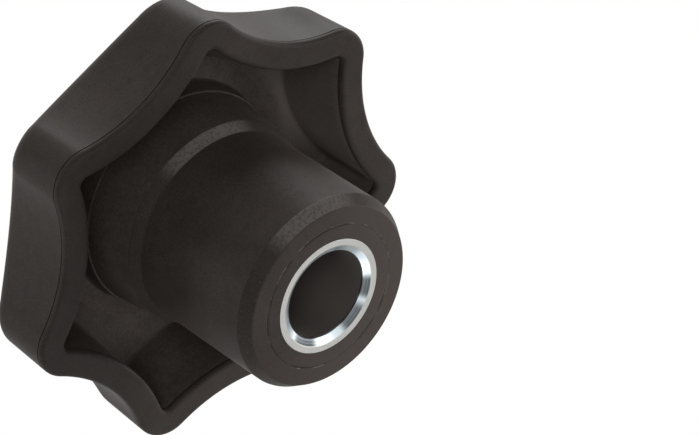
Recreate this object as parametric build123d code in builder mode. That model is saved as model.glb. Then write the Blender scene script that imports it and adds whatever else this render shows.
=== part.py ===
"""Star knob, 50 mm over seven lobes.

A hollow, domed handwheel moulding with a long hub, a steel bush moulded into the hub
and a snap-in cover cap in the crown. The frame has +Z up along the knob's axis, with
its origin at the mouth of the bore, in the middle of the hub's end face, and +X through
the middle of a lobe. All sizes are in millimetres.
"""

import os
from math import asin, copysign, cos, degrees, hypot, radians, sin, sqrt, tan

from build123d import *

os.makedirs("parts", exist_ok=True)

# Grip: seven lobes round a hollow, domed skirt
lobe_count = 7
grip_diameter = 50.0        # over the lobe tips, at the parting line
flute_diameter = 42.0       # across the bottoms of the finger flutes
lobe_tip_radius = 4.0
parting_height = 17.7       # hub end face to the parting line round the skirt
lip_depth = 0.7             # skirt below the parting line
overall_height = 33.2       # hub end face to the top of the dome
dome_radius = 42.5
shoulder_radius = 2.5       # dome into the side wall
outer_draft = 2.0           # degrees, outside of the skirt
inner_draft = 1.6           # degrees, inside of the skirt
skirt_wall = 3.1            # at the rim
crown_wall = 3.7            # on the axis
ceiling_radius = 66.0       # flatter than the dome, so the crown thins outwards
lip_outer_radius = 0.6
lip_inner_radius = 0.7
ceiling_corner_radius = 0.6

# Hub, with a stepped collar in the cavity that flares out under the crown
hub_diameter = 22.0
hub_chamfer_length = 1.35
hub_chamfer_width = 0.85
hub_draft = 0.3             # degrees
collar_diameter = 23.7
collar_step_below_parting = 0.65
collar_step_length = 1.25
ledge_diameter = 25.0       # collar just below its fine ledge
ledge_width = 0.2
ledge_drop = 3.4            # ceiling at the flare down to the ledge
root_diameter = 25.8        # top of the collar's wall, where the flare starts
flare_drop = 1.0            # ceiling at the flare down to the root
flare_diameter = 30.5       # where the flare meets the ceiling

# Steel bush, moulded in flush with the hub's end
bush_diameter = 13.0
bush_length = 22.0
bore_diameter = 10.0
bore_countersink_width = 0.8
bore_countersink_depth = 0.5
bush_groove_depth = 0.6
bush_groove_width = 4.0
bush_flat_depth = 0.35
bush_plain_end = 2.5        # round stretch at each end, past the flats

# Cover cap, snapped into the crown
cap_diameter = 22.6
cap_thickness = 1.5         # at its rim
cap_proud = 0.2             # above the dome at its rim
cap_edge_radius = 0.3
cap_gap = 0.1               # round the disc and round the snap ring
recess_diameter = 17.8      # room over the bush for a nut or a screw's head
snap_ring_wall = 1.2
snap_ring_length = 4.0
snap_bead_height = 0.25
snap_bead_width = 1.0
snap_bead_margin = 0.5      # end of the snap ring to the bead

# Derived places
pitch = 360.0 / lobe_count
half_pitch = radians(pitch / 2)
tip_radius = grip_diameter / 2
flute_bottom = flute_diameter / 2
rim_height = parting_height - lip_depth
hub_radius = hub_diameter / 2
collar_radius = collar_diameter / 2
ledge_radius = ledge_diameter / 2
root_radius = root_diameter / 2
flare_radius = flare_diameter / 2
bush_radius = bush_diameter / 2
bore_radius = bore_diameter / 2
cap_radius = cap_diameter / 2
recess_radius = recess_diameter / 2
ceiling_top = overall_height - crown_wall
step_height = parting_height - collar_step_below_parting
draft_loss = (overall_height - rim_height) * tan(radians(inner_draft))

# A lobe's tip arc and its neighbouring flute's arc touch without a corner
tip_centre = tip_radius - lobe_tip_radius
flute_radius = (
    tip_centre**2 + flute_bottom**2 - 2 * tip_centre * flute_bottom * cos(half_pitch) - lobe_tip_radius**2
) / (2 * (lobe_tip_radius - flute_bottom + tip_centre * cos(half_pitch)))
flute_centre = flute_bottom + flute_radius


def sphere_height(distance, top, radius):
    """Height, at a distance from the knob's axis, of a sphere that reaches up to a top on the axis."""
    return top - radius + sqrt(radius**2 - distance**2)


def polar(distance, angle):
    """Point at a distance from the axis, at an angle in degrees from +X."""
    return (distance * cos(radians(angle)), distance * sin(radians(angle)))


def lobe_join(inset):
    """Where a lobe's arc meets a flute's: distance from the axis, angle off the lobe's middle."""
    across = flute_centre * sin(half_pitch)
    along = flute_centre * cos(half_pitch) - tip_centre
    apart = flute_radius + lobe_tip_radius
    arc_left = lobe_tip_radius - inset
    # The draft would use up a tighter arc on its way to the crown, so that corner is sharp
    if arc_left > draft_loss:
        x = tip_centre + arc_left * along / apart
        y = arc_left * across / apart
        return hypot(x, y), degrees(asin(y / hypot(x, y)))
    reach = copysign(sqrt((flute_radius + inset) ** 2 - across**2), flute_radius)
    return flute_centre * cos(half_pitch) - reach, 0.0


def lobed_outline(inset):
    """Draw the grip's outline, moved inwards by the same amount all round."""
    join_distance, join_angle = lobe_join(inset)
    for lobe in range(lobe_count):
        middle = lobe * pitch
        leaving = polar(join_distance, middle + join_angle)
        arriving = polar(join_distance, middle + pitch - join_angle)
        if join_angle > 0:
            entering = polar(join_distance, middle - join_angle)
            ThreePointArc(entering, polar(tip_radius - inset, middle), leaving)
        ThreePointArc(leaving, polar(flute_bottom - inset, middle + pitch / 2), arriving)


def below_sphere(top, radius, floor, reach):
    """Draw half of the section below a sphere, out to a distance from the axis."""
    halfway = (reach / 2, sphere_height(reach / 2, top, radius))
    edge = (reach, sphere_height(reach, top, radius))
    ThreePointArc((0, top), halfway, edge)
    Polyline(edge, (reach, floor), (0, floor), (0, top))


# Bush: turned steel, with a groove and two flats that lock it into the hub
groove_low = (bush_length - bush_groove_width) / 2
groove_high = (bush_length + bush_groove_width) / 2
groove_radius = bush_radius - bush_groove_depth

with BuildPart() as bush_blank:
    with BuildSketch(Plane.XZ):
        with BuildLine():
            Polyline(
                (0, 0),
                (bush_radius, 0),
                (bush_radius, groove_low),
                (groove_radius, groove_low),
                (groove_radius, groove_high),
                (bush_radius, groove_high),
                (bush_radius, bush_length),
                (0, bush_length),
                close=True,
            )
        make_face()
    revolve(axis=Axis.Z)
    with BuildSketch(Plane.XY.offset(bush_plain_end)):
        with PolarLocations(bush_radius - bush_flat_depth, 2):
            Rectangle(bush_radius, bush_diameter, align=(Align.MIN, Align.CENTER))
    extrude(amount=bush_length - 2 * bush_plain_end, mode=Mode.SUBTRACT)

with BuildPart() as bush:
    add(bush_blank.part)
    with BuildSketch(Plane.XZ):
        with BuildLine():
            Polyline(
                (0, 0),
                (bore_radius + bore_countersink_width, 0),
                (bore_radius, bore_countersink_depth),
                (bore_radius, bush_length - bore_countersink_depth),
                (bore_radius + bore_countersink_width, bush_length),
                (0, bush_length),
                close=True,
            )
        make_face()
    revolve(axis=Axis.Z, mode=Mode.SUBTRACT)
bush.part.label = "bush"

# Cover cap: a domed disc, with a snap ring that drops into the crown's recess
seat_height = sphere_height(cap_radius, overall_height, dome_radius) + cap_proud - cap_thickness
seat_radius = cap_radius + cap_gap
halfway_height = sphere_height(cap_radius / 2, overall_height, dome_radius) + cap_proud
ring_radius = recess_radius - cap_gap
ring_end = seat_height - snap_ring_length
bead_low = ring_end + snap_bead_margin
bead_high = bead_low + snap_bead_width
bead_middle = (bead_low + bead_high) / 2

with BuildPart() as cover_cap:
    with BuildSketch(Plane.XZ):
        with BuildLine():
            rim = (cap_radius, seat_height + cap_thickness)
            ThreePointArc((0, overall_height + cap_proud), (cap_radius / 2, halfway_height), rim)
            Polyline(rim, (cap_radius, seat_height), (0, seat_height), (0, overall_height + cap_proud))
        make_face()
    revolve(axis=Axis.Z)
    crown_edge = cover_cap.faces().filter_by(GeomType.SPHERE).edges().filter_by(lambda edge: edge.is_closed)
    fillet(crown_edge, cap_edge_radius)
    with BuildSketch(Plane.XZ):
        with BuildLine():
            Polyline(
                (ring_radius - snap_ring_wall, seat_height + cap_thickness / 2),
                (ring_radius - snap_ring_wall, ring_end),
                (ring_radius, ring_end),
                (ring_radius, bead_low),
                (ring_radius + snap_bead_height, bead_middle),
                (ring_radius, bead_high),
                (ring_radius, seat_height + cap_thickness / 2),
                close=True,
            )
        make_face()
    revolve(axis=Axis.Z)
cover_cap.part.label = "cover_cap"

# Cavity core: what is hollow between the skirt, the crown and the collar
core_reach = tip_radius - skirt_wall + 1.0

with BuildPart() as cavity_core:
    with BuildSketch(Plane.XY.offset(rim_height)):
        with BuildLine():
            lobed_outline(skirt_wall)
        make_face()
    extrude(amount=overall_height - rim_height, taper=inner_draft)
    with BuildSketch(Plane.XZ):
        with BuildLine():
            below_sphere(ceiling_top, ceiling_radius, rim_height - 1.0, core_reach)
        make_face()
    revolve(axis=Axis.Z, mode=Mode.INTERSECT)
    fillet(cavity_core.faces().filter_by(GeomType.SPHERE).edges(), ceiling_corner_radius)

# Knob body: one moulding
hub_foot_radius = hub_radius + (step_height - hub_chamfer_length) * tan(radians(hub_draft))
step_top = step_height + collar_step_length
flare_top = sphere_height(flare_radius, ceiling_top, ceiling_radius)
ledge_height = flare_top - ledge_drop
crown_middle = (flare_top + sphere_height(flare_radius, overall_height, dome_radius)) / 2

with BuildPart() as knob_body:
    with BuildSketch(Plane.XY.offset(parting_height)):
        with BuildLine():
            lobed_outline(0)
        make_face()
    extrude(amount=overall_height - parting_height, taper=outer_draft)
    with BuildSketch(Plane.XZ):
        with BuildLine():
            below_sphere(overall_height, dome_radius, parting_height - 1.0, tip_radius + 1.0)
        make_face()
    revolve(axis=Axis.Z, mode=Mode.INTERSECT)
    fillet(knob_body.faces().filter_by(GeomType.SPHERE).edges(), shoulder_radius)
    with BuildSketch(Plane.XY.offset(rim_height)):
        with BuildLine():
            lobed_outline(0)
        make_face()
    extrude(amount=lip_depth)
    fillet(knob_body.faces().sort_by(Axis.Z)[0].edges(), lip_outer_radius)
    add(cavity_core.part, mode=Mode.SUBTRACT)
    fillet(knob_body.faces().sort_by(Axis.Z)[0].inner_wires()[0].edges(), lip_inner_radius)
    with BuildSketch(Plane.XZ):
        with BuildLine():
            Polyline(
                (0, 0),
                (hub_radius - hub_chamfer_width, 0),
                (hub_radius, hub_chamfer_length),
                (hub_foot_radius, step_height),
                (collar_radius, step_top),
                (ledge_radius, ledge_height),
                (ledge_radius + ledge_width, ledge_height),
                (root_radius, flare_top - flare_drop),
                (flare_radius, flare_top),
                (flare_radius, crown_middle),
                (0, crown_middle),
                close=True,
            )
        make_face()
    revolve(axis=Axis.Z)
    with BuildSketch(Plane.XZ):
        with BuildLine():
            Polyline(
                (0, bush_length),
                (recess_radius, bush_length),
                (recess_radius, bead_low - cap_gap),
                (recess_radius + snap_bead_height, bead_middle),
                (recess_radius, bead_high + cap_gap),
                (recess_radius, seat_height),
                (seat_radius, seat_height),
                (seat_radius, overall_height),
                (0, overall_height),
                close=True,
            )
        make_face()
    revolve(axis=Axis.Z, mode=Mode.SUBTRACT)
    add(bush_blank.part, mode=Mode.SUBTRACT)
knob_body.part.label = "knob_body"

for piece in (bush, cover_cap, knob_body):
    export_step(piece.part, f"parts/{piece.part.label}.step")
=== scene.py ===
"""Star knob: moulded body, turned bush and cover cap, with their finishes, light and camera.

The work is in metres in the part's own frame: +Z up along the knob's axis, the origin at
the mouth of the bore, and +X through the middle of a lobe. Sizes below are in millimetres
and become metres as each mesh is made.
"""
from math import atan2, cos, pi, radians, sin, tan

import bpy
import numpy as np
from mathutils import Matrix, Vector


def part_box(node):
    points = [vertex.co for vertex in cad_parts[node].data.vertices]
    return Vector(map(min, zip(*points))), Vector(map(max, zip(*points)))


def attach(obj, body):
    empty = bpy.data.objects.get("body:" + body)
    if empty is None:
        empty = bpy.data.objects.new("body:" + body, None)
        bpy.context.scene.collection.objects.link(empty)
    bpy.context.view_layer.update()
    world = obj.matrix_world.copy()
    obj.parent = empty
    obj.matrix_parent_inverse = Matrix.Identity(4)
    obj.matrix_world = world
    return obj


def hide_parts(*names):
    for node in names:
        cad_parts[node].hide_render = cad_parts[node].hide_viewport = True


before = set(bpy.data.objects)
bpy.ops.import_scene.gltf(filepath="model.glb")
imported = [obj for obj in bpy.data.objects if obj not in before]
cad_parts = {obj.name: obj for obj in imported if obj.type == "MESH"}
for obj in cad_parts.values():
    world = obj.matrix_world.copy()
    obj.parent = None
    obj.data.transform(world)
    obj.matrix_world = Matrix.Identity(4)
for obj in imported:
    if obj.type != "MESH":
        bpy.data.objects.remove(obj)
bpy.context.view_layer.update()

MM = 0.001
body_high, bush_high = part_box("knob_body")[1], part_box("bush")[1]

# Grip, in millimetres, with heights above the hub's end face
LOBES = 7
TIP = body_high[0] / MM          # axis to a lobe's tip at the parting line
FLUTE = 21.0                     # axis to a flute's bottom
LOBE_ROUND = 4.0
PARTING, SEAM_DEPTH = 17.7, 0.16
RIM = 17.0
DOME_TOP, DOME_ROUND = 33.2, 42.5
SHOULDER = 2.5
OUTER_DRAFT, INNER_DRAFT = tan(radians(2.0)), tan(radians(1.6))
WALL = 3.1
CEILING_TOP, CEILING_ROUND = 29.5, 66.0
CEILING_CORNER = 0.6
LIP_OUTER, LIP_INNER = 0.6, 0.7
SEAT_RADIUS, SEAT = 11.4, 30.37  # where the cap sits in the crown
RECESS = 8.9                     # room over the bush, under the cap

# Hub, in millimetres: each radius with its height, or with its drop below the flare's top
FACE = 10.15
HUB, CHAMFER_TOP = 11.0, 1.35
HUB_TOP, STEP_FOOT = 11.08, 17.05
COLLAR, STEP_TOP = 11.85, 18.3
LEDGE, LEDGE_OUT, LEDGE_DROP = 12.5, 12.7, 3.4
ROOT, FLARE_DROP = 12.9, 1.0
FLARE = 15.25
RING, RING_DEPTH = 8.13, 0.1     # turned ring on the end face
FLOW_DEPTH = 0.04                # fine line in the ceiling round the flare

# Bush, in millimetres
BUSH, BUSH_TOP = bush_high[0] / MM, bush_high[2] / MM
BORE = 5.0
SINK_WIDTH, SINK = 0.8, 0.5      # countersinks at the bore's ends
FLAT_DEPTH, GROOVE_DEPTH = 0.35, 0.6
GROOVE_FOOT, GROOVE_TOP = 9.0, 13.0
PLAIN_END = 2.5                  # round stretch at each end, past the flats

# Studio, in metres and watts
SHEET, SHEET_HEIGHT = 0.5, -0.0001       # half width of the floor, and its height
AZIMUTH, ELEVATION, ROLL = radians(-94.008), radians(-39.273), radians(-57.814)
DISTANCE, AIM = 0.296689, Vector((0.008265, 0.004661, 0.007608))
LENS, SENSOR = 145.239, 36.0
LAMP_DISTANCE, LAMP_SIZE = 0.6, 0.35
LAMPS = {                                # (rightward, upward, toward the camera), power
    "up_back": ((0, 1, -0.5), 2.0), "up_left": ((-1, 1, 0.2), 0.35), "up_front": ((0, 1, 0.6), 0.2),
    "right": ((1, 0, 0.1), 1.0), "right_back": ((1, 0.3, -0.6), 1.2), "left": ((-1, 0, 0.1), 0.6),
    "front": ((0, 0, 1), 1.4), "down": ((0, -1, 0.1), 0.7),
    "down_left": ((-1, -1, 0.2), 0.2), "down_right": ((1, -1, 0.2), 0.6),
}


def linear(hex_colour):
    """sRGB hex value to linear RGBA."""
    parts = np.array([int(hex_colour[i:i + 2], 16) for i in (1, 3, 5)]) / 255
    low, high = parts / 12.92, ((parts + 0.055) / 1.055) ** 2.4
    return (*np.where(parts <= 0.04045, low, high).tolist(), 1.0)


def add(tree, kind, settings=None, inputs=None):
    """Add a shader node with its settings, and each input's value or incoming link."""
    made = tree.nodes.new("ShaderNode" + kind)
    for name, value in (settings or {}).items():
        setattr(made, name, value)
    for socket, value in (inputs or {}).items():
        if isinstance(value, bpy.types.NodeSocket):
            tree.links.new(value, made.inputs[socket])
        else:
            made.inputs[socket].default_value = value
    return made


def place_object(name, data):
    """Object of a name in the scene, from a mesh, a lamp or a camera."""
    made = bpy.data.objects.new(name, data)
    bpy.context.scene.collection.objects.link(made)
    return made


# ---------------------------------------------------------------- shapes

def grip_outline(lobe_steps, flute_steps):
    """Points and outward normals round the grip at the parting line.

    A lobe is an arc of LOBE_ROUND about a centre that far inside its tip. A flute is a
    hollow arc, whose radius makes it touch both lobes beside it without a corner. Each arc
    is its centre plus its radius times the unit vector at even steps of its sweep.
    """
    half = pi / LOBES
    lobe_centre = TIP - LOBE_ROUND
    flute_round = (
        (lobe_centre**2 + FLUTE**2 - 2 * lobe_centre * FLUTE * cos(half) - LOBE_ROUND**2)
        / (2 * (LOBE_ROUND - FLUTE + lobe_centre * cos(half)))
    )
    flute_centre = FLUTE + flute_round
    join = atan2(flute_centre * sin(half), flute_centre * cos(half) - lobe_centre)
    lobe = np.linspace(-join, join, lobe_steps, endpoint=False)
    flute = np.linspace(join, 2 * half - join, flute_steps, endpoint=False)
    normals = np.concatenate([np.exp(1j * lobe), np.exp(1j * flute)])
    centres = np.concatenate([
        np.full(lobe_steps, lobe_centre + 0j),
        np.full(flute_steps, flute_centre * np.exp(1j * half)),
    ])
    reach = np.concatenate([np.full(lobe_steps, LOBE_ROUND), np.full(flute_steps, -flute_round)])
    turns = np.exp(2j * half * np.arange(LOBES))[:, None]
    points = (turns * (centres + reach * normals)).ravel()
    return points, (turns * normals).ravel()


outline, outward = grip_outline(lobe_steps=22, flute_steps=34)
around = outline / np.abs(outline)


def sphere(plan, top, radius):
    """Height of a sphere that reaches up to a top on the axis, over points in plan."""
    return top - radius + np.sqrt(radius**2 - np.abs(plan) ** 2)


def row(plan, height):
    """One row of grid points, from plan positions and a height or heights."""
    return np.column_stack([plan.real, plan.imag, np.broadcast_to(height, plan.shape)])


def circles(profile):
    """Rows about the axis, one for each (radius, height), either of which can vary round it."""
    return [row(radius * around, height) for radius, height in profile]


def rounded(profile, edge, steps=4):
    """Profile with each inner corner eased, and a guard point each side of the easing.

    The easing is the quadratic arc (1-w)^2 A + 2w(1-w) P + w^2 B, where P is the corner and
    A and B lie an edge length before and after it. The guards keep the flats beside it flat.
    """
    profile = np.array(profile, float)
    sizes = np.array([0.0, *edge, 0.0])
    lengths = np.linalg.norm(np.diff(profile, axis=0), axis=1)
    longest_guard = 0.06
    guards = np.minimum(longest_guard, (lengths - sizes[:-1] - sizes[1:]) / 3)
    eased = [profile[0]]
    for k in range(1, len(profile) - 1):
        before, corner, after = profile[k - 1:k + 2]
        into, out = (corner - before) / lengths[k - 1], (after - corner) / lengths[k]
        start, end = corner - sizes[k] * into, corner + sizes[k] * out
        w = np.linspace(0, 1, steps + 1)[:, None]
        arc = (1 - w) ** 2 * start + 2 * w * (1 - w) * corner + w**2 * end
        eased += [start - guards[k - 1] * into, *arc, end + guards[k] * out]
    return np.array([*eased, profile[-1]])


def between(first, last, count):
    """Rows evenly spaced between two rows, without either of them."""
    return [first + (last - first) * k / (count + 1) for k in range(1, count + 1)]


def wall_to_sphere(inset, foot, draft, top, radius, fillet, steps):
    """Rows of the rounded corner between a drafted lobed wall and a sphere.

    On every column the wall's line and the sphere cross at the height that repeating
    height = sphere(wall's place at that height) settles on. The corner is the circular arc
    ((1-w)^2 A + 2w(1-w)k I + w^2 B) / ((1-w)^2 + 2w(1-w)k + w^2), with I the crossing, k the
    cosine of half the turn, and A and B at fillet times the tangent of half the turn from I.
    """
    height = np.full(outline.shape, foot)
    for _ in range(30):
        at = inset + (height - foot) * draft
        height = sphere(outline - at * outward, top, radius)
    small = 0.01
    rise = (sphere(outline - (at + small) * outward, top, radius) - height) / small
    wall = np.array([draft, 1.0]) / np.hypot(draft, 1.0)
    across, up = 1 / np.hypot(1, rise), rise / np.hypot(1, rise)
    turn = np.arccos(wall[0] * across + wall[1] * up)
    reach, weight = fillet * np.tan(turn / 2), np.cos(turn / 2)
    start = (at - reach * wall[0], height - reach * wall[1])
    end_inset = at + reach * across
    end = (end_inset, sphere(outline - end_inset * outward, top, radius))
    rows = []
    for w in np.linspace(0, 1, steps + 1):
        parts = (1 - w) ** 2, 2 * w * (1 - w) * weight, w**2
        both = [(parts[0] * a + parts[1] * i + parts[2] * b) / sum(parts)
                for a, i, b in zip(start, (at, height), end)]
        rows.append(row(outline - both[0] * outward, both[1]))
    return rows


def over_sphere(edge, radius_in, top, radius, count):
    """Rows over a sphere, evenly from a lobed edge in to a circle."""
    plan = edge[:, 0] + 1j * edge[:, 1]
    shares = np.linspace(0, 1, count + 1)[1:]
    steps = [(1 - w) * plan + w * radius_in * around for w in shares]
    return [row(step, sphere(step, top, radius)) for step in steps]


def closed_sheet(name, zones):
    """Mesh of a grid that closes on itself both ways, with one quad for each cell.

    The grid comes as zones, each its rows and the number of the finish that they take.
    """
    points = np.array([one for rows, _ in zones for one in rows]) * MM
    finish = np.repeat([number for _, number in zones], [len(rows) for rows, _ in zones])
    count, columns = points.shape[:2]
    i, j = np.meshgrid(np.arange(count), np.arange(columns), indexing="ij")
    up, along = (i + 1) % count, (j + 1) % columns
    corners = (i * columns + j, i * columns + along, up * columns + along, up * columns + j)
    mesh = bpy.data.meshes.new(name)
    mesh.from_pydata(
        points.reshape(-1, 3).tolist(), [], np.stack(corners, axis=-1).reshape(-1, 4).tolist())
    mesh.shade_smooth()
    mesh.polygons.foreach_set("material_index", np.repeat(finish, columns).astype(np.int32))
    return place_object(name, mesh)


def broken(seed, repeats):
    """Share from 0.15 to 1 round the axis: clipped mean of sines, for a line that fades."""
    angle = np.angle(around)
    sines = sum(np.sin(k * angle + seed * k) for k in repeats)
    return np.clip(0.5 + sines / len(repeats), 0.15, 1.0)


def bush_wall():
    """Rows down the bush's outside, where the moulding grips it: two flats, and a groove."""
    flat = np.minimum(BUSH, (BUSH - FLAT_DEPTH) / np.maximum(np.abs(around.real), 0.1))
    groove, flat_top, run_out = BUSH - GROOVE_DEPTH, BUSH_TOP - PLAIN_END, 0.02
    return circles([
        (BUSH, flat_top + run_out), (flat, flat_top), (flat, GROOVE_TOP), (groove, GROOVE_TOP),
        (groove, GROOVE_FOOT), (flat, GROOVE_FOOT), (flat, PLAIN_END), (BUSH, PLAIN_END - run_out)])


# The body's finishes, by number
GRAINED, INSIDE, COARSE, PAINTED_LIT_FLARE = range(4)

# Hub: bore wall, end face with its turned ring, chamfer, side, collar and flare
flare_top = sphere(FLARE, CEILING_TOP, CEILING_ROUND)
hub_profile = rounded(
    [(BUSH, BUSH_TOP), (BUSH, 0), (FACE, 0), (HUB, CHAMFER_TOP), (HUB_TOP, STEP_FOOT),
     (COLLAR, STEP_TOP), (LEDGE, flare_top - LEDGE_DROP), (LEDGE_OUT, flare_top - LEDGE_DROP),
     (ROOT, flare_top - FLARE_DROP), (FLARE - 0.05, flare_top - 0.02), (FLARE, flare_top)],
    edge=[0.06, 0.12, 0.15, 0.1, 0.12, 0.03, 0.03, 0.35, 0.01],
)
hub_rows = circles(hub_profile)
outside = np.flatnonzero(hub_profile[:, 0] > RING)
face_end = outside[0]
starts = np.searchsorted(
    hub_profile[outside, 1],
    (0.05, CHAMFER_TOP + 0.01, STEP_FOOT - 0.01, STEP_TOP - 0.01, flare_top - FLARE_DROP))
chamfer_start, side_start, band_start, collar_start, flare_start = face_end + starts
ring_share = broken(1.3, (3, 5, 11))
ring_rows = circles([(RING + off, depth * ring_share) for off, depth in (
    (-0.3, 0.0), (-0.14, 0.0), (-0.06, RING_DEPTH), (0.05, RING_DEPTH), (0.12, 0.0), (0.3, 0.0))])
end_rows = (
    hub_rows[:1] + bush_wall() + hub_rows[1:face_end]
    + ring_rows + hub_rows[face_end:chamfer_start])
hub_zones = [
    (end_rows, GRAINED),
    (hub_rows[chamfer_start:side_start], COARSE),
    (hub_rows[side_start:band_start], GRAINED),
    (hub_rows[band_start:collar_start], COARSE),
    (hub_rows[collar_start:flare_start], INSIDE),
    (hub_rows[flare_start:], PAINTED_LIT_FLARE),
]

# Ceiling: a fine flow line where the flare ends, then out to the lobed corner
flow_share = broken(0.4, (2, 7, 13))
flow_end = FLARE + 0.35
flow_profile = (
    (FLARE + 0.06, FLOW_DEPTH), (FLARE + 0.12, FLOW_DEPTH), (FLARE + 0.2, 0.0), (flow_end, 0.0))
flow_rows = circles([
    (radius, sphere(radius, CEILING_TOP, CEILING_ROUND) + depth * flow_share)
    for radius, depth in flow_profile])
cavity_corner = wall_to_sphere(
    WALL, RIM, INNER_DRAFT, CEILING_TOP, CEILING_ROUND, CEILING_CORNER, steps=7)
ceiling_rows = over_sphere(cavity_corner[-1], flow_end, CEILING_TOP, CEILING_ROUND, count=10)

# Skirt: inner wall, rim with both lips, seam groove, outer wall and shoulder
inner_foot = row(outline - (WALL + LIP_INNER * INNER_DRAFT) * outward, RIM + LIP_INNER)
lip_profile = rounded(
    [(WALL, RIM + LIP_INNER), (WALL, RIM), (0.0, RIM), (0.0, PARTING - 0.07),
     (SEAM_DEPTH, PARTING - 0.02), (SEAM_DEPTH, PARTING + 0.01), (0.0, PARTING + 0.06),
     (0.007, PARTING + 0.25)],
    edge=[LIP_INNER * 0.9, LIP_OUTER * 0.95, 0.012, 0.01, 0.01, 0.012], steps=6)
lip_rows = [row(outline - inset * outward, height) for inset, height in lip_profile[1:]]
shoulder = wall_to_sphere(0.0, PARTING, OUTER_DRAFT, DOME_TOP, DOME_ROUND, SHOULDER, steps=12)
inner_wall = between(cavity_corner[0], inner_foot, 6)
rim_and_side = [inner_foot] + lip_rows + between(lip_rows[-1], shoulder[0], 7) + shoulder

# Crown: dome in to the cap's seat, and the recess over the bush
dome_rows = over_sphere(shoulder[-1], SEAT_RADIUS + 0.15, DOME_TOP, DOME_ROUND, count=16)
seat_top = sphere(SEAT_RADIUS, DOME_TOP, DOME_ROUND)
crown_rows = circles([
    (SEAT_RADIUS + 0.04, seat_top - 0.03), (SEAT_RADIUS, seat_top - 0.15), (SEAT_RADIUS, SEAT),
    (RECESS, SEAT), (RECESS, BUSH_TOP)])

body = closed_sheet("moulded_body", hub_zones + [
    (flow_rows + ceiling_rows[::-1][1:] + cavity_corner[::-1][1:] + inner_wall, INSIDE),
    (rim_and_side + dome_rows + crown_rows, GRAINED)])

# Bush: lower end, outside, upper end and bore, turned from bar
low_end = rounded(
    [(BORE, BUSH_TOP / 2), (BORE, SINK), (BORE + SINK_WIDTH, 0), (BUSH, 0), (BUSH, 1)],
    edge=[0.06, 0.05, 0.07])
high_end = low_end[::-1] * (1, -1) + (0, BUSH_TOP)
bush = closed_sheet(
    "turned_bush", [(circles(low_end) + bush_wall()[::-1] + circles(high_end[:-1]), 0)])


# ---------------------------------------------------------------- finishes

def finish_tree(name):
    """New material with its tree and its object coordinates in metres."""
    material = bpy.data.materials.new(name)
    material.use_nodes = True
    tree = material.node_tree
    tree.nodes.clear()
    return material, tree, add(tree, "TexCoord").outputs["Object"]


def noise(tree, place, size_mm, detail=2.0, rough=0.5):
    """Cloud of spots about a size across, as its factor output."""
    return add(tree, "TexNoise", None, {
        "Vector": place, "Scale": 1 / (size_mm * MM), "Detail": detail, "Roughness": rough,
    }).outputs["Fac"]


def maths(tree, operation, a, b=0.0):
    """Result of one operation on values or links."""
    return add(tree, "Math", {"operation": operation}, {0: a, 1: b}).outputs[0]


def times(tree, product, *others):
    """Product of values or links."""
    for other in others:
        product = maths(tree, "MULTIPLY", product, other)
    return product


def vector_maths(tree, operation, a, b=(0, 0, 0)):
    """Node for one operation on vectors."""
    return add(tree, "VectorMath", {"operation": operation}, {0: a, 1: b})


def stretch(tree, value, low, high, to_low=0.0, to_high=1.0):
    """Smooth step of a value between two levels, onto two others."""
    return add(tree, "MapRange", {"interpolation_type": "SMOOTHSTEP"}, {
        "Value": value, "From Min": low, "From Max": high, "To Min": to_low, "To Max": to_high,
    }).outputs["Result"]


def stretch_mm(tree, length, low, high, to_low=0.0, to_high=1.0):
    """Smooth step of a length in metres between two levels in millimetres."""
    return stretch(tree, length, low * MM, high * MM, to_low, to_high)


def line_at(tree, length, middle, edge, core):
    """Share from 1 within core of a length's middle to 0 at edge from it, in millimetres."""
    away = maths(tree, "ABSOLUTE", maths(tree, "SUBTRACT", length, middle * MM))
    return stretch_mm(tree, away, edge, core)


def blend(tree, share, a, b):
    """Mix of two colours, each a colour or a link."""
    return add(tree, "Mix", {"data_type": "RGBA"}, {0: share, 6: a, 7: b}).outputs[2]


def bumps(tree, height, strength, depth_mm):
    """Normal that follows a height, full height being a depth."""
    return add(tree, "Bump", None, {
        "Strength": strength, "Distance": depth_mm * MM, "Height": height}).outputs[0]


def along_axis(tree, place):
    """Height above the hub's end face, in metres."""
    return add(tree, "SeparateXYZ", None, {0: place}).outputs[2]


def flattened(tree, place):
    """Position with its height taken out."""
    return vector_maths(tree, "MULTIPLY", place, (1, 1, 0)).outputs[0]


def axis_distance(tree, place):
    """Distance from the knob's axis, in metres."""
    return vector_maths(tree, "LENGTH", flattened(tree, place)).outputs["Value"]


def toward_angle(tree, place, degrees, half):
    """Share from 1 at an angle round the axis to 0 at half an angle beside it."""
    unit = vector_maths(tree, "NORMALIZE", flattened(tree, place)).outputs[0]
    way = (cos(radians(degrees)), sin(radians(degrees)), 0)
    share = vector_maths(tree, "DOT_PRODUCT", unit, way).outputs["Value"]
    return stretch(tree, share, cos(radians(half)), cos(radians(half * 0.4)))


def finished(material, tree, inputs):
    """The material, with one principled shader of these inputs as its surface."""
    shader = add(tree, "BsdfPrincipled", None, inputs)
    add(tree, "OutputMaterial", None, {"Surface": shader.outputs[0]})
    return material


# Dark colour of painted shade: in the ring and seam grooves, and on the rim toward one side
PAINTED_SHADE = linear("#0f0c0b")
LIT_SIDE = (0.56, 0.83, 0.0)             # the way toward which the painted light pales the hub's face
PAINTED_GLINT_SIDE = (-57, 34)                    # painted glint: degrees round the axis, and to either side
PAINTED_DARK_REFLECTIONS = (                          # painted dark reflections in the countersink: the same, and how dark
    (54, 17, 0.9), (92, 22, 0.9), (167, 26, 1.0), (-20, 26, 0.5), (-160, 18, 0.55))


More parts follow.
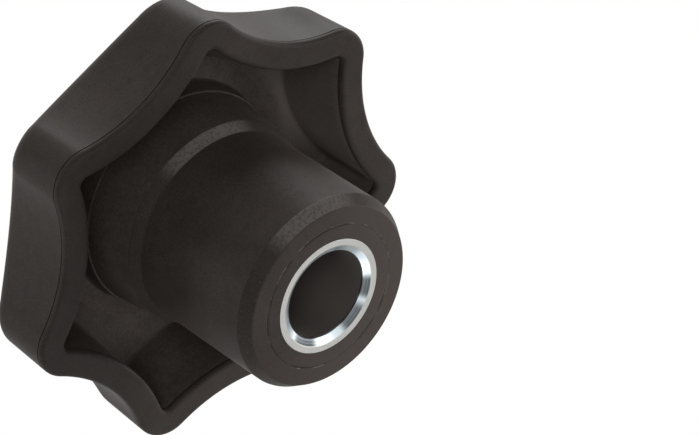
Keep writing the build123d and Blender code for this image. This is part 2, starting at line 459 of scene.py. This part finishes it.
def painted_groove_shade_and_highlight(tree, place, colour):
    """Painted shade darkening the hub's turned ring and the skirt's seam, and a painted highlight
    as a pale line beside the ring.
    """
    radius, height = axis_distance(tree, place), along_axis(tree, place)
    end_face = stretch_mm(tree, height, 0.3, 0.2)
    ring = times(tree, line_at(tree, radius, RING, 0.13, 0.05), end_face,
                 stretch(tree, noise(tree, place, 2.5, 3.0), 0.42, 0.56))
    seam = times(tree, line_at(tree, height, PARTING - 0.005, 0.07, 0.04),
                 stretch_mm(tree, radius, 14, 15))
    # painted shade: the ring and seam grooves darkened
    groove_shaded = blend(tree, times(tree, maths(tree, "MAXIMUM", ring, seam), 0.85), colour, PAINTED_SHADE)
    # painted highlight: a pale line on the ring groove's outer edge
    edge_light = times(tree, line_at(tree, radius, RING + 0.12, 0.08, 0.03), end_face,
                 stretch(tree, noise(tree, place, 1.5, 2.0), 0.55, 0.62), 0.6)
    return blend(tree, edge_light, groove_shaded, linear("#8d8379"))


def painted_side_light(tree, place, colour, pocket_light_share):
    """Painted light and shade: the hub face and pockets painted paler toward one side, and the rim
    painted darker toward the other.
    """
    radius, height = axis_distance(tree, place), along_axis(tree, place)
    aside = vector_maths(tree, "DOT_PRODUCT", place, LIT_SIDE).outputs["Value"]
    end_face = stretch_mm(tree, height, 0.15, 0.05)
    # painted light: the hub's end face paler toward one side
    pale = times(tree, end_face, stretch_mm(tree, aside, -9, 9, 0.0, 0.55))
    colour = blend(tree, pale, colour, linear("#5d5551"))
    rim = times(tree, stretch_mm(tree, radius, 15.5, 16.5), stretch_mm(tree, height, 17.3, 17.1))
    # painted shade: the rim darker toward the other side
    dark = times(tree, rim, stretch_mm(tree, aside, -2, -12, 0.0, 0.36))
    colour = blend(tree, dark, colour, PAINTED_SHADE)
    # painted light: the pockets paler toward one side
    pocket = times(tree, stretch_mm(tree, radius, 15.8, 17.2),
                   stretch_mm(tree, aside, 6, 14, 0.0, pocket_light_share))
    return blend(tree, pocket, colour, linear("#7d756f"))


def moulded_nylon(name, dark, light, spot_mm, depth_mm, sparkle=0.0, pocket_light_share=0.0):
    """Glass-filled nylon: a dark warm grey that clouds softly, under the tool's fine grain,
    with sparse paler specks where fibres reach the skin. Toward one side, where the sparkle
    is strong, a paler mottled patch is a painted glint. The hub's turned ring and the
    skirt's seam are darkened with painted shade, with a painted highlight beside the ring.
    The hub's face and the pockets are painted paler toward one side, and the rim painted
    darker toward the other: painted light and shade in place of their sheen under a
    studio's lights."""
    material, tree, place = finish_tree(name)
    cloud = stretch(tree, noise(tree, place, 8.0, 3.0), 0.3, 0.7)
    grain = noise(tree, place, spot_mm, 3.0, 0.6)
    pits = noise(tree, place, 2.2 * spot_mm, 2.0)
    blotch = noise(tree, place, 1.6, 4.0, 0.65)
    fibre = stretch(tree, noise(tree, place, 0.8 * spot_mm, 1.0), 0.64, 0.78)
    base = blend(tree, cloud, linear(dark), linear(light))
    base = blend(tree, stretch(tree, grain, 0.35, 0.65, 0.0, 0.28), base, linear("#211d1b"))
    base = blend(tree, stretch(tree, blotch, 0.45, 0.7, 0.0, 0.2), base, linear("#1c1816"))
    # painted glint: a paler mottled patch toward one side of the coarse skin
    glint_patch = times(tree, toward_angle(tree, place, *PAINTED_GLINT_SIDE),
                 stretch(tree, pits, 0.36, 0.58, 0.62, 1.0), sparkle)
    base = blend(tree, glint_patch, base, linear("#75706c"))
    colour = blend(tree, times(tree, fibre, 0.08 + 0.3 * sparkle), base, linear("#8b8681"))
    # painted shade in the grooves with a painted highlight, then painted side light and shade
    colour = painted_groove_shade_and_highlight(tree, place, colour)
    colour = painted_side_light(tree, place, colour, pocket_light_share)
    relief = maths(tree, "ADD", times(tree, grain, 0.6), times(tree, pits, 0.4))
    uneven = maths(tree, "ADD", times(tree, cloud, 0.08), times(tree, grain, 0.12))
    return finished(material, tree, {
        "Base Color": colour, "Roughness": maths(tree, "ADD", uneven, 0.42),
        "Specular IOR Level": 0.08, "Normal": bumps(tree, relief, 0.6, depth_mm)})


def turned_zinc():
    """Zinc-plated steel: a pale grey matt end face, a bright bluish countersink with dark
    streaky places painted in as reflections of dark surroundings, and fine turned lines round
    the axis. Past the plating at its mouth, the bore's own wall is painted dark and not
    metallic, as painted shade deep in the bore."""
    material, tree, place = finish_tree("zinc_plated_steel")
    radius, height = axis_distance(tree, place), along_axis(tree, place)
    section = add(tree, "CombineXYZ", None, {0: radius, 1: height}).outputs[0]
    lines = noise(tree, section, 0.06, 2.0)
    cloud = noise(tree, place, 1.2, 3.0)
    sink = stretch_mm(tree, height, 0.02, 0.07)
    deep = stretch_mm(tree, height, 0.66, 0.74)      # plating reaches just into the bore; past it the wall is painted shade
    streaks = stretch(tree, lines, 0.35, 0.6, 0.82, 1.0)
    # painted reflections: dark streaky places in the countersink at given angles
    dark_reflection = 0.0
    for degrees, half, strength in PAINTED_DARK_REFLECTIONS:
        dark_reflection_here = times(tree, toward_angle(tree, place, degrees, half), strength)
        dark_reflection = maths(tree, "MAXIMUM", dark_reflection_here, dark_reflection)
    face = blend(tree, cloud, linear("#93928f"), linear("#a1a19e"))
    bright = blend(tree, cloud, linear("#bdc8cd"), linear("#ced8dc"))
    plated = blend(tree, sink, face, bright)
    reflected = blend(tree, times(tree, dark_reflection, streaks, sink), plated, linear("#2c2e31"))
    gloss = stretch_mm(tree, height, 0.02, 0.07, 0.42, 0.25)
    matt = maths(tree, "MAXIMUM", gloss, times(tree, deep, 0.6))
    return finished(material, tree, {
        # painted shade: past the plating, the bore's wall is dark and not metallic
        "Base Color": blend(tree, deep, reflected, linear("#524c49")),
        "Metallic": maths(tree, "SUBTRACT", 1.0, deep),
        "Roughness": maths(tree, "ADD", times(tree, cloud, 0.12), matt),
        "Normal": bumps(tree, lines, 0.3, 0.01)})


def cap_nylon():
    """Red satin cap moulding: an even strong red with a faint fine grain in its gloss."""
    material, tree, place = finish_tree("red_cap_nylon")
    cloud = stretch(tree, noise(tree, place, 6.0, 2.0), 0.3, 0.7)
    grain = noise(tree, place, 0.25, 2.0)
    return finished(material, tree, {
        "Base Color": blend(tree, cloud, linear("#b81c20"), linear("#c62428")),
        "Roughness": maths(tree, "ADD", times(tree, grain, 0.15), 0.36),
        "Specular IOR Level": 0.4, "Normal": bumps(tree, grain, 0.3, 0.01)})


def paper():
    """Pale sheet seen from its upper side only, round the knob, and fading out before its
    edge. It glows to the camera so that it reads as pale, and is matt, so it keeps the
    knob's shadow. To every other ray, and from below, it is clear and blocks no lamp."""
    material, tree, place = finish_tree("pale_sheet")
    tint = blend(tree, noise(tree, place, 40.0), linear("#f2f2f2"), linear("#f6f6f6"))
    fibre = bumps(tree, noise(tree, place, 0.8), 0.1, 0.1)
    matt = add(tree, "BsdfDiffuse", None, {"Color": tint, "Roughness": 0.5, "Normal": fibre})
    glow = add(tree, "Emission", None, {"Color": tint, "Strength": 0.55})
    pale = add(tree, "AddShader", None, {0: matt.outputs[0], 1: glow.outputs[0]})
    clear = add(tree, "BsdfTransparent")
    front = maths(tree, "SUBTRACT", 1.0, add(tree, "NewGeometry").outputs["Backfacing"])
    near = stretch(tree, axis_distance(tree, place), SHEET, 0.3 * SHEET)
    seen = times(tree, add(tree, "LightPath").outputs["Is Camera Ray"], front, near)
    mixed = add(tree, "MixShader", None, {0: seen, 1: clear.outputs[0], 2: pale.outputs[0]})
    add(tree, "OutputMaterial", None, {"Surface": mixed.outputs[0]})
    return material


# Skin by place: grained outside, a paler copy inside as painted light in the cavity, coarse on
# chamfer and step, and a still paler copy on the flare as painted light
nylons = {
    GRAINED: moulded_nylon("glass_filled_nylon", "#393330", "#433d3a", 0.2, 0.02),
    # painted light: a paler copy of the nylon, lifting the cavity's shade
    INSIDE: moulded_nylon(
        "glass_filled_nylon_inside_painted_light", "#48423d", "#524b46", 0.3, 0.01, pocket_light_share=0.3),
    # painted light: a still paler copy, so the flare reads as lit as the ceiling
    PAINTED_LIT_FLARE: moulded_nylon("glass_filled_nylon_flare_painted_light", "#5a534d", "#655d57", 0.3, 0.01),
    COARSE: moulded_nylon(
        "glass_filled_nylon_coarse", "#312c28", "#39342f", 0.15, 0.05, sparkle=0.8),
}
zinc, red = turned_zinc(), cap_nylon()
for made, materials, slot, stands_for in (
        (body, [nylons[number] for number in sorted(nylons)], "body_plastic", "knob_body"),
        (bush, [zinc], "zinc_plated_steel", "bush")):
    for material in materials:
        made.data.materials.append(material)
    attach(made, "root")
    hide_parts(stands_for)
for cap_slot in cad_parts["cover_cap"].material_slots:
    cap_slot.material = red

# ---------------------------------------------------------------- stage

sheet_mesh = bpy.data.meshes.new("floor")
sheet_mesh.from_pydata(
    [(x * SHEET, y * SHEET, SHEET_HEIGHT) for x, y in ((-1, -1), (1, -1), (1, 1), (-1, 1))],
    [], [(0, 1, 2, 3)])
sheet_mesh.materials.append(paper())
place_object("floor", sheet_mesh)

# Camera, below the knob and looking up at its hub
toward = Vector((cos(ELEVATION) * cos(AZIMUTH), cos(ELEVATION) * sin(AZIMUTH), sin(ELEVATION)))
camera = place_object("camera", bpy.data.cameras.new("camera"))
camera.data.sensor_width, camera.data.lens = SENSOR, LENS
camera.data.clip_start, camera.data.clip_end = 0.01, 10.0
turn = (-toward).to_track_quat("-Z", "Y").to_matrix().to_4x4() @ Matrix.Rotation(ROLL, 4, "Z")
camera.matrix_world = Matrix.Translation(AIM + toward * DISTANCE) @ turn
bpy.context.scene.camera = camera

# Lamps: round soft discs that face the knob's hub, placed as the camera sees it
rightward = turn.to_3x3() @ Vector((1, 0, 0))
upward = turn.to_3x3() @ Vector((0, 1, 0))
for name, ((r, u, c), power) in LAMPS.items():
    lamp = bpy.data.lights.new(name, "AREA")
    lamp.shape, lamp.size, lamp.energy = "DISK", LAMP_SIZE, power
    softbox = place_object(name, lamp)
    softbox.visible_camera = False
    direction = (rightward * r + upward * u + toward * c).normalized()
    facing = direction.to_track_quat("Z", "Y").to_matrix().to_4x4()
    softbox.matrix_world = Matrix.Translation(direction * LAMP_DISTANCE) @ facing

# Room: white where it is seen straight, in gloss or through glass, and otherwise unlit
world = bpy.data.worlds.new("studio")
bpy.context.scene.world = world
world.use_nodes = True
room = world.node_tree
room.nodes.clear()
path = add(room, "LightPath").outputs
seen = maths(room, "MAXIMUM", path["Is Camera Ray"], maths(
    room, "MAXIMUM", path["Is Glossy Ray"], path["Is Transmission Ray"]))
white, unlit = (
    add(room, "Background", None, {"Color": (1, 1, 1, 1), "Strength": strength}).outputs[0]
    for strength in (1.0, 0.0))
mixed = add(room, "MixShader", None, {0: seen, 1: unlit, 2: white})
add(room, "OutputWorld", None, {"Surface": mixed.outputs[0]})
bpy.context.scene.view_settings.view_transform = "Standard"
